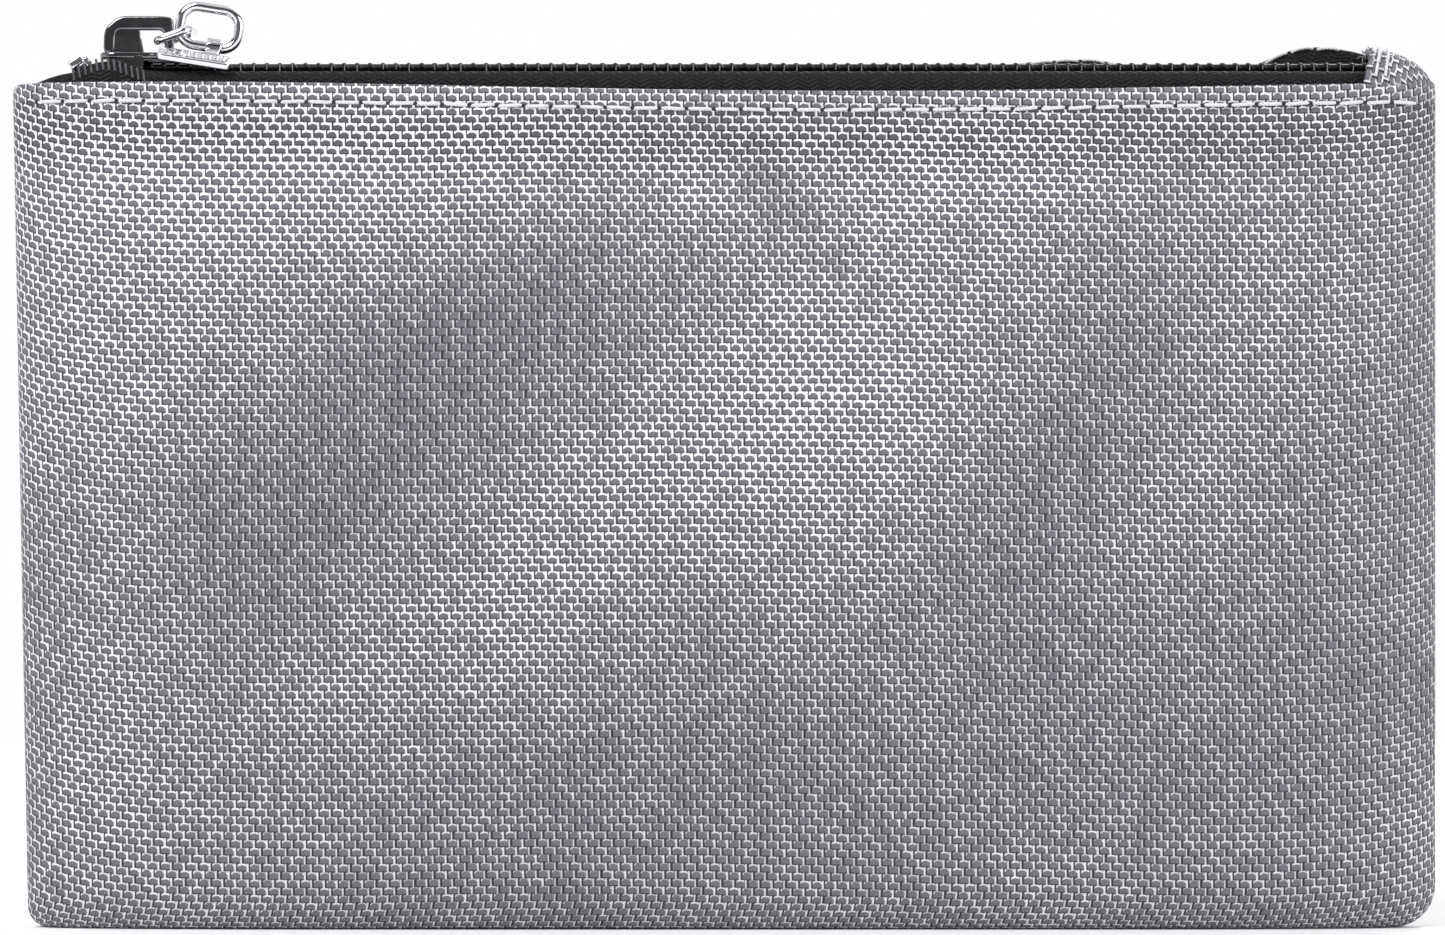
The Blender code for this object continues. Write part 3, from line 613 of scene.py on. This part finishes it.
# dark spots painted as the shade inside the needle hole at the start of each dash
hole_shade_finish, hole_shader, hole_start = new_material("needle_hole_shade", Roughness=0.9)
hole_fuzz = hole_start.node("TexNoise", None, {"Scale": 3000.0})
join(hole_shader, "Base Color", hole_fuzz.mix(colour(0.008, 0.008, 0.01), colour(0.03, 0.03, 0.035)))
hems = (("front", -1, FRONT_FOLDS, no_rise, 11), ("back", 1, BACK_FOLDS, back_rise, 12))
for word, side, folds, rise, seed in hems:
    surface = hem_stitch_surface(side, folds, rise)
    dashes = stitch_line(surface, -81.5 * MM, 82.5 * MM, seed)
    place(f"{word}_hem_stitches", tube(f"{word}_hem_stitches", dashes, THREAD), "pouch",
          f"{word}_topstitch", slot="thread", finish=thread_finish)
    holes = bmesh.new()
    for dash in dashes:
        where, out = surface(dash[0].x - 0.16 * MM)
        spot = Matrix.Translation(where + out * 0.02 * MM) @ Matrix.Diagonal((1.0, 0.35, 0.85, 1.0))
        bmesh.ops.create_icosphere(holes, subdivisions=2, radius=0.34 * MM, matrix=spot)
    hole_mesh = bpy.data.meshes.new(f"{word}_needle_holes")
    holes.to_mesh(hole_mesh)
    holes.free()
    place(f"{word}_needle_holes", hole_mesh, "pouch", slot="thread", finish=hole_shade_finish)

# ---------------------------------------------------------------- zip tapes
# Black herringbone tape, one for each coil. From the coil each runs out flat, turns down and
# is sewn behind the hem. The back one buckles upwards near the right end of the zip.

TAPE = 0.5 * MM
SLIDER_WAY = 4.35 * MM          # the slider needs this much to each side
TAPE_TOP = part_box("front_zipper_tape")[1][2]
TAPE_END = WIDTH / 2 - 1.2 * MM
DROP_RUN = 8 * MM               # length over which a tape dips at its end


def herringbone():
    """Black twill whose ribs turn back every two threads, in the tape's own thread counts."""
    made, shader, start = new_material("black_herringbone", Specular_IOR_Level=0.2)
    across, along, _ = parts_of(start, start.node("UVMap", {"uv_map": "yarns"}))
    zigzag = (along % 4.0 - 2.0).maths("ABSOLUTE", along % 4.0 - 2.0)
    ribs = ((across * 2.0 + zigzag * 1.2) * math.pi).cosine() * 0.5 + 0.5
    rows_of = (along * math.pi * 2.0).cosine() * 0.5 + 0.5
    fuzz = start.node("TexNoise", None, {"Vector": start.node("TexCoord", None, None, 3), "Scale": 1500.0})
    shade = (ribs * 0.5 + rows_of * 0.2 + fuzz * 0.3).clamped()
    join(shader, "Base Color", shade.mix(colour(0.001, 0.001, 0.0015), colour(0.016, 0.016, 0.018)))
    join(shader, "Roughness", fuzz * 0.2 + 0.55)
    relief(start, shader, ribs + rows_of * 0.4, 0.7, 0.2 * MM)
    return made


tape_finish = herringbone()


def tape_drop(x):
    """The tapes dip into the corner at each end."""
    share = min(max((abs(x) - TAPE_END) / DROP_RUN + 1.0, 0.0), 1.0)
    return 2.2 * MM * share ** 2


def front_rise(x):
    """The front tape is pushed up where the closed slider sits."""
    return 1.75 * MM * bump(x + 73.5 * MM, 3.6 * MM)


def tape_leg(x, side):
    """Distance from the middle plane to the part of the tape that hangs behind the hem."""
    folds = FRONT_FOLDS if side < 0 else BACK_FOLDS
    return max(panel_depth(x, HEIGHT, folds) - 2 * SHEET - 0.5 * MM, 0.5 * MM)


def tape_path(x, side):
    """Y and Z across a tape: flat beside the coil, up to its crest, and round into the leg."""
    flat = TAPE_TOP - TAPE / 2 - tape_drop(x)
    leg = tape_leg(x, side)
    inner = min(0.75 * MM, leg * 0.4)
    bend = min(0.9 * MM, leg * 0.4)
    path = [(inner + (leg - bend - inner) * i / 9, flat) for i in range(10)]
    for i in range(1, 7):
        angle = math.pi / 2 * i / 6
        path.append((leg - bend + bend * math.sin(angle), flat - bend * (1 - math.cos(angle))))
    lift = front_rise(x) if side < 0 else back_rise(x) * 1.35
    free = max(leg - SLIDER_WAY, 0.1 * MM)
    return [(y, z + lift * max((y - SLIDER_WAY) / free, 0.0) ** 0.6) for y, z in path]


def tape_rows(side):
    """Rows across a tape, from one end of the zip to the other."""
    rows = []
    for number in range(281):
        x = (number / 140 - 1.0) * TAPE_END
        path = tape_path(x, side)
        last_y, last_z = path[-1]
        path += [(last_y, last_z - (last_z - HEIGHT + 9 * MM) * i / 8) for i in range(1, 9)]
        rows.append([Vector((x, side * y, z)) for y, z in path])
    return rows


for word, side in (("front", -1), ("back", 1)):
    rows = tape_rows(side)
    if side > 0:
        rows.reverse()
    mesh = cloth_mesh(f"{word}_tape", rows, 0.5 * MM, 0.62 * MM)
    tape = place(f"{word}_tape", mesh, "pouch", f"{word}_zipper_tape", slot="black_tape", finish=tape_finish)
    thicken(tape, TAPE, 0.0)


def crest_surface(x):
    """The top of the back tape's crest."""
    y, z = max(tape_path(x, 1), key=lambda point: point[1])
    return Vector((x, y - 0.5 * MM, z + 0.05 * MM)), Vector((0, -1, 0.4))


crest_dashes = stitch_line(crest_surface, 18 * MM, 74.5 * MM, 17, 0.8)
place("tape_stitches", tube("tape_stitches", crest_dashes, THREAD * 0.8), "pouch",
      slot="thread", finish=thread_finish)

# ---------------------------------------------------------------- coils
# A black nylon monofilament wound into a flattened spiral on each tape, with a cord through
# its middle and a row of sewing over the top that holds it down.

COIL_PITCH = 1.54 * MM
FILAMENT = 0.5 * MM


def satin(name, dark, light, roughness):
    """Smooth drawn nylon or fine sewing thread."""
    made, shader, start = new_material(name, Specular_IOR_Level=0.35)
    spot = start.node("TexCoord", None, None, 3)
    drawn = start.node("TexNoise", None, {"Vector": spot, "Scale": 1800.0, "Detail": 2.0})
    join(shader, "Base Color", drawn.mix(dark, light))
    join(shader, "Roughness", drawn * 0.2 + (roughness - 0.1))
    relief(start, shader, drawn, 0.15, 0.1 * MM)
    return made


nylon = satin("black_nylon", colour(0.001, 0.001, 0.0015), colour(0.01, 0.01, 0.012), 0.4)
for word, side in (("front", -1), ("back", 1)):
    coil_low, coil_high = (Vector(corner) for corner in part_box(f"{word}_coil"))
    bottom, top = TAPE_TOP + 0.02 * MM, coil_high.z - 0.1 * MM
    middle_y = (abs(coil_low.y) + abs(coil_high.y)) / 2
    reach = abs(coil_high.y - coil_low.y) / 2 - FILAMENT / 2
    turns = int((coil_high.x - coil_low.x) / COIL_PITCH)
    middle_z = (bottom + top) / 2
    line = []
    for step in range(turns * 14 + 1):
        angle = math.tau * step / 14
        y = middle_y - reach * math.cos(angle)
        z = middle_z + (top - bottom - FILAMENT) / 2 * math.sin(angle)
        line.append((coil_low.x + 0.4 * MM + COIL_PITCH * angle / math.tau, side * y, z))
    place(f"{word}_coil_spiral", tube(f"{word}_coil_spiral", [line], FILAMENT), "pouch",
          f"{word}_coil", slot="black_nylon", finish=nylon)
    core = [(x, side * middle_y, middle_z) for x in (coil_low.x, coil_high.x)]
    place(f"{word}_coil_core", tube(f"{word}_coil_core", [core], 0.85 * MM), "pouch",
          f"{word}_coil_cord", slot="black_nylon", finish=nylon)

SEWING_FACE = -3.06 * MM        # y of the sewing that shows in front of the front coil
grey_thread = satin("grey_sewing", colour(0.05, 0.05, 0.055), colour(0.34, 0.34, 0.36), 0.5)
chance = random.Random(3)
ticks = []
x = coil_low.x + 14 * MM
while x < coil_high.x:
    lean, low, high = (chance.uniform(*limits) * MM for limits in ((-0.1, 0.1), (0.0, 0.35), (0.75, 1.05)))
    if chance.random() < 0.8:
        ticks.append([(x + lean * t, SEWING_FACE, TAPE_TOP + low + (high - low) * t) for t in (0, 0.5, 1)])
    x += COIL_PITCH
place("coil_sewing", tube("coil_sewing", ticks, 0.16 * MM, 1), "pouch", slot="thread", finish=grey_thread)
# the tape's own sewing stands out as ribs where the slider pushes it up
ribs = []
for number in range(13):
    x = (-77.3 + 0.7 * number) * MM
    front, crest = tape_leg(x, -1) + TAPE / 2, TAPE_TOP + front_rise(x) - tape_drop(x)
    drops = ((-0.1, 0.12, 0.25), (0.0, 0.0, 0.7), (0.1, 0.0, 1.6))
    ribs.append([(x + lean * MM, inset * MM - front, crest - drop * MM) for lean, inset, drop in drops])
rib_finish = satin("dark_sewing", colour(0.02, 0.02, 0.022), colour(0.12, 0.12, 0.13), 0.4)
place("tape_ribs", tube("tape_ribs", ribs, 0.3 * MM, 2), "pouch", slot="black_tape", finish=rib_finish)

# ---------------------------------------------------------------- bright metal
# Polished plate over die-cast zinc, with faint rubbing marks. The slider's body and crown
# have the same plate in black.


def plated(name, dark, light, roughness):
    """Mirror-like plate, a little cloudy and scuffed."""
    made, shader, start = new_material(name, Metallic=1.0)
    spot = start.node("TexCoord", None, None, 3)
    marks = start.node("TexNoise", None, {"Vector": spot, "Scale": 700.0, "Detail": 4.0})
    scuffs = start.node("TexNoise", None, {"Vector": spot, "Scale": 260.0, "Detail": 1.0})
    join(shader, "Base Color", marks.mix(dark, light))
    join(shader, "Roughness", marks * 0.08 + scuffs * 0.06 + (roughness - 0.07))
    relief(start, shader, scuffs, 0.08, 0.1 * MM)
    return made


bright_metal = plated("bright_plate", colour(0.62, 0.62, 0.64), colour(0.86, 0.86, 0.88), 0.1)
black_chrome = plated("black_plate", colour(0.12, 0.12, 0.13), colour(0.3, 0.3, 0.31), 0.12)


def outline_solid(name, outline, thickness, rounding, transform):
    """A flat outline extruded about its plane, with rounded edges, as a mesh in its place."""
    data = bpy.data.curves.new(name, "CURVE")
    data.dimensions = "2D"
    data.fill_mode = "BOTH"
    data.extrude = thickness / 2 - rounding
    data.bevel_depth = rounding
    data.bevel_resolution = 3
    data.offset = -rounding
    spline = data.splines.new("POLY")
    spline.points.add(len(outline) - 1)
    for point, (x, y) in zip(spline.points, outline):
        point.co = (x, y, 0.0, 1.0)
    spline.use_cyclic_u = True
    holder = bpy.data.objects.new(name, data)
    scene.collection.objects.link(holder)
    bpy.context.view_layer.update()
    finished = holder.evaluated_get(bpy.context.evaluated_depsgraph_get())
    mesh = bpy.data.meshes.new_from_object(finished)
    bpy.data.objects.remove(holder)
    shape = bmesh.new()
    shape.from_mesh(mesh)
    bmesh.ops.remove_doubles(shape, verts=shape.verts, dist=0.002 * MM)
    shape.to_mesh(mesh)
    shape.free()
    mesh.transform(transform)
    return mesh


def merged(name, meshes):
    """Several solids as the one casting they belong to."""
    shape = bmesh.new()
    for mesh in meshes:
        shape.from_mesh(mesh)
    made = bpy.data.meshes.new(name)
    shape.to_mesh(made)
    shape.free()
    made.shade_smooth()
    made.set_sharp_from_angle(angle=math.radians(38))
    return made


def block_mesh(low, high, rounding=0.12 * MM):
    """A box with rounded edges between two corners."""
    (x0, y0, z0), (x1, y1, z1) = low, high
    outline = [(x0, y0), (x1, y0), (x1, y1), (x0, y1)]
    lift = Matrix.Translation((0, 0, (z0 + z1) / 2))
    return outline_solid("block", outline, z1 - z0, rounding, lift)


def rounded_outline(corners, radius, steps=4):
    """An outline with each corner replaced by an arc-like curve."""
    outline = []
    for number, corner in enumerate(corners):
        corner = Vector(corner)
        before, after = Vector(corners[number - 1]), Vector(corners[(number + 1) % len(corners)])
        back = (before - corner).normalized() * min(radius, (before - corner).length * 0.45)
        ahead = (after - corner).normalized() * min(radius, (after - corner).length * 0.45)
        for i in range(steps + 1):
            t = i / steps
            outline.append(corner + back * (1 - t) ** 2 + ahead * t ** 2)
    return outline


STANDING = Matrix.Rotation(math.pi / 2, 4, "X")      # turns a flat outline up into the XZ plane

# ---------------------------------------------------------------- top stops
# Small clips of bright metal, folded over the edge of each tape and pinched on. They stop
# the slider at the closed end. The front one has been pinched on askew.

for word, side, tilt in (("front", -1, 36), ("back", 1, 8)):
    low, high = (Vector(corner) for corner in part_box(f"{word}_top_stop"))
    centre = (low + high) / 2
    depth, wall, half_height, half_gap = 2.1 * MM, 0.5 * MM, 1.55 * MM, 0.3 * MM
    clip = [(-depth, -half_gap), (-depth, -half_height), (0, -half_height), (0, half_height),
            (-depth, half_height), (-depth, half_gap), (-wall, half_gap), (-wall, -half_gap)]
    outline = rounded_outline(clip, 0.35 * MM, 3)
    turn = Matrix.Rotation(math.radians(-tilt), 4, "Y")
    seat = Matrix.Translation((centre.x, side * 0.3 * MM, centre.z + 0.55 * MM)) @ turn
    upright = Matrix.Rotation(-side * math.pi / 2, 4, "Z") @ STANDING
    mesh = merged(f"{word}_stop_clip", [outline_solid("clip", outline, 1.7 * MM, 0.14 * MM, seat @ upright)])
    place(f"{word}_stop_clip", mesh, "pouch", f"{word}_top_stop", slot="bright_metal", finish=bright_metal)

# ---------------------------------------------------------------- right end tab
# A doubled piece of the silver cloth, folded over the cut ends of the tapes and sewn down.
# Its cut edge has frayed a little at the top.

TAB_START, TAB_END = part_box("right_end_tab")[0][0], WIDTH / 2 - 0.1 * MM
TAB_BASE, TAB_RISE = HEIGHT - 0.4 * MM, 5.1 * MM
TAB_ROUNDING = 0.55             # power of the round fold, seen along the zip


def tab_point(share, angle, grow=0.0):
    """A place on the end tab: share runs along the zip, angle over the top from front to back."""
    top = max(1.0 - share ** 2.3, 0.0) ** 0.62
    lean = 1.1 * MM * math.sin(angle) * (1.0 - share)
    x = TAB_START + (TAB_END - TAB_START) * share + lean
    half = panel_depth(min(x, WIDTH / 2 - 0.2 * MM), HEIGHT, ()) - 0.4 * MM + grow
    y = -half * math.copysign(abs(math.cos(angle)) ** TAB_ROUNDING, math.cos(angle))
    return Vector((x, y, TAB_BASE + (TAB_RISE * top + grow) * abs(math.sin(angle)) ** TAB_ROUNDING))


rows = [[tab_point(i / 30, math.pi * j / 48) for j in range(49)] for i in range(31)]
mesh = cloth_mesh("end_tab_cloth", [row[::-1] for row in rows], YARN_UP, YARN_ACROSS)
tab_piece = place("end_tab_cloth", mesh, "pouch", "right_end_tab", slot="silver_cloth", finish=silver_cloth)
thicken(tab_piece, SHEET * 1.3)


def tab_seam(share):
    """Stitches over the tab, following its edge."""
    lines = []
    for number in range(8):
        line = []
        for i in range(6):
            angle = math.pi * (0.05 + 0.9 * (number + 0.84 * i / 5) / 8)
            line.append(tab_point(share, angle, THREAD * (0.75 * math.sin(math.pi * i / 5) - 0.1)))
        lines.append(line)
    return lines


seam = tube("end_tab_stitches", tab_seam(0.14) + tab_seam(0.27), THREAD * 0.8)
place("end_tab_stitches", seam, "pouch", "end_tab_thread", slot="thread", finish=thread_finish)

fray_chance = random.Random(5)
strands = []
for number in range(26):
    angle = math.pi * fray_chance.uniform(0.22, 0.78)
    root = tab_point(0.03, angle, 0.1 * MM)
    drift = Vector([fray_chance.uniform(*limits) for limits in ((-1.3, 0.4), (-0.5, 0.5), (-0.5, 0.5))])
    strand = []
    for i in range(6):
        bend = Vector((0, 0, fray_chance.uniform(-0.1, 0.1)))
        strand.append(root + (drift * (i / 5) + bend) * MM)
    strands.append(strand)
fray_finish = satin("fray", colour(0.05, 0.05, 0.06), colour(0.4, 0.39, 0.43), 0.6)
place("end_tab_fray", tube("end_tab_fray", strands, 0.13 * MM, 1), "pouch",
      slot="silver_cloth", finish=fray_finish)

# ---------------------------------------------------------------- slider
# A die-cast body of two plates round the chain, joined by the post that parts the coils, with
# a pressed crown over it. The crown's curled end keeps the puller's link from slipping off.

body_low, body_high = (Vector(corner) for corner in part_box("slider_body"))
PLATE, NOSE, TAPER = 0.8 * MM, 1.2 * MM, 0.4 * MM
shoulder, tail = body_high.y, 3 * MM
waist = body_low.x + (body_high.x - body_low.x) * 0.42
half = [(body_low.x, shoulder - NOSE), (body_low.x + NOSE, shoulder), (waist, shoulder - TAPER),
        (waist + 2 * MM, tail), (body_high.x, tail)]
outline = rounded_outline([(x, -y) for x, y in half] + half[::-1], 0.9 * MM)
plates = []
for low in (body_low.z, body_high.z - PLATE):
    seat = Matrix.Translation((0, 0, low + PLATE / 2))
    plates.append(outline_solid("plate", outline, PLATE, 0.25 * MM, seat))
into_plate = body_high.z - PLATE / 2
rail, rail_wall, lip_wall = 3.2 * MM, 0.6 * MM, 0.5 * MM
for side in (-1, 1):
    near, far = sorted((side * rail, side * (rail + rail_wall)))
    plates.append(block_mesh((body_low.x + NOSE, near, TAPE_TOP + 0.25 * MM), (waist, far, into_plate)))
for side in (-1, 1):
    near, far = sorted((side * (tail - lip_wall), side * tail))
    plates.append(block_mesh((waist, near, body_high.z - PLATE - 0.2 * MM), (body_high.x, far, into_plate)))
post_start, post_length, post_half = body_low.x + 0.6 * MM, 3 * MM, 0.4 * MM
plates.append(block_mesh((post_start, -post_half, body_low.z + PLATE / 2),
                         (post_start + post_length, post_half, into_plate)))
place("slider_casting", merged("slider_casting", plates), "slider", "slider_body",
      slot="black_chrome", finish=black_chrome)

crown_low, crown_high = (Vector(corner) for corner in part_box("slider_crown"))
BAR, LEG = 1.7 * MM, 1.0 * MM
left, right, foot, top = crown_low.x, crown_high.x, crown_low.z, crown_high.z
under = top - BAR
crown = [(left, foot), (left + 1.4 * MM, foot), (left + 1.5 * MM, under), (right - LEG - 0.1 * MM, under),
         (right - LEG, foot), (right, foot), (right, top - 0.2 * MM), (right - 1.2 * MM, top),
         (left + 1.8 * MM, top), (left + 0.1 * MM, top - 1.6 * MM)]
outline = rounded_outline(crown, 0.8 * MM, 5)
castings = [outline_solid("bridge", outline, crown_high.y - crown_low.y, 0.3 * MM, STANDING)]
cheek_top = under + 0.3 * MM
cheek = [(left + MM, foot), (right - 3.6 * MM, foot), (right - 4.2 * MM, cheek_top), (left + MM, cheek_top)]
for y in (-0.66 * MM, 0.66 * MM):
    seat = Matrix.Translation((0, y, 0)) @ STANDING
    castings.append(outline_solid("cheek", cheek, 0.16 * MM, 0.05 * MM, seat))
place("crown_bridge", merged("crown_bridge", castings), "slider", "slider_crown",
      slot="black_chrome", finish=black_chrome)
paint(frame["nodes"]["lock_pin"].data, bright_metal)

# ---------------------------------------------------------------- puller
# A small oval link through the crown, a rounded ring on the link, and a flat strip with a
# knuckle rolled round the ring's lower side. All are bright plate.

LINK_WIRE, RING_WIRE = 1.0 * MM, 1.2 * MM
joints = {joint["name"]: joint for joint in frame["record"]["behaviour"]["joints"]}
link_pivot = Vector(joints["link_swing"]["pos_m"])
ring_pivot = Vector(joints["ring_swing"]["pos_m"])
tab_pivot = Vector(joints["tab_swing"]["pos_m"])
along = -Vector(joints["tab_swing"]["axis"])
link_reach = math.hypot(ring_pivot.x - link_pivot.x, ring_pivot.z - link_pivot.z)
link_tilt = math.atan2(ring_pivot.z - link_pivot.z, ring_pivot.x - link_pivot.x)
slope = math.atan2(along.z, along.x)


def oval(length, height, radius, steps=8):
    """Points round a rectangle with rounded corners, centred on zero."""
    points = []
    for quarter, (sx, sy) in enumerate(((1, 1), (-1, 1), (-1, -1), (1, -1))):
        for i in range(steps + 1):
            angle = math.pi / 2 * (quarter + i / steps)
            points.append((sx * (length / 2 - radius) + radius * math.cos(angle),
                           sy * (height / 2 - radius) + radius * math.sin(angle)))
    return points


tilt = Matrix.Rotation(-link_tilt, 3, "Y")
loop = oval(link_reach, 6.8 * MM, 1.1 * MM)
loop = [link_pivot + tilt @ Vector((link_reach / 2 + x, y, 0)) for x, y in loop]
place("puller_link", tube("puller_link", [loop], LINK_WIRE, 6, True), "link", "pull_link",
      slot="bright_metal", finish=bright_metal)

RING_LENGTH, RING_HEIGHT, RING_RISE = 7.0 * MM, 4.6 * MM, 0.5 * MM
ring_near = (LINK_WIRE + RING_WIRE) / 2 + 0.2 * MM
tilt = Matrix.Rotation(-slope, 3, "Y")
loop = []
for x, z in oval(RING_LENGTH, RING_HEIGHT, 1.9 * MM):
    loop.append(ring_pivot + tilt @ Vector((RING_LENGTH / 2 - ring_near + x, 0, RING_RISE + z)))
place("puller_ring", tube("puller_ring", [loop], RING_WIRE, 6, True), "ring", "pull_ring",
      slot="bright_metal", finish=bright_metal)

STRIP_LENGTH, STRIP_DEPTH, STRIP_REACH, STRIP_GAP = 8.8 * MM, 2.5 * MM, 2.6 * MM, 2.75 * MM
STRIP_TILT = math.radians(26)
strip_frame = Matrix.Translation(tab_pivot) @ Matrix.Rotation(-slope, 4, "Y")
knuckle = bmesh.new()
inner, outer, neck = RING_WIRE / 2 + 0.15 * MM, RING_WIRE / 2 + 0.5 * MM, 0.9 * MM
profile = rounded_outline([(outer, neck), (outer, -neck), (inner, -neck), (inner, neck)], 0.15 * MM, 3)
rings = []
for step in range(36):
    angle = math.tau * step / 36
    rings.append([knuckle.verts.new((x, r * math.cos(angle), r * math.sin(angle))) for r, x in profile])
for ring, following in zip(rings, rings[1:] + rings[:1]):
    for i in range(len(profile)):
        j = (i + 1) % len(profile)
        knuckle.faces.new((ring[i], ring[j], following[j], following[i]))
bmesh.ops.recalc_face_normals(knuckle, faces=knuckle.faces)
knuckle_mesh = bpy.data.meshes.new("knuckle")
knuckle.to_mesh(knuckle_mesh)
knuckle.free()
knuckle_mesh.transform(strip_frame)
left, right = STRIP_REACH - STRIP_LENGTH, STRIP_REACH
edge, joint = -STRIP_GAP, 0.2 * MM - outer
blade = [(left, edge), (-neck, edge), (-neck, joint), (neck, joint), (neck, edge),
         (right, edge), (right, edge - STRIP_DEPTH), (left, edge - STRIP_DEPTH)]
blade_place = strip_frame @ Matrix.Rotation(STRIP_TILT, 4, "X")
blade = rounded_outline(blade, 0.6 * MM)
pieces = [knuckle_mesh, outline_solid("blade", blade, 0.8 * MM, 0.22 * MM, blade_place)]
middle, rib_half, rib_width = edge - STRIP_DEPTH / 2, 0.65 * MM, 0.3 * MM
for number in range(9):
    x = left + 0.9 * MM + number * 0.85 * MM
    rib = [(x, middle - rib_half), (x + rib_width, middle - rib_half),
           (x + rib_width, middle + rib_half), (x, middle + rib_half)]
    lift = blade_place @ Matrix.Translation((0, 0, 0.42 * MM))
    pieces.append(outline_solid("rib", rib, 0.24 * MM, 0.06 * MM, lift))
place("puller_strip", merged("puller_strip", pieces), "tab", "pull_tab",
      slot="bright_metal", finish=bright_metal)
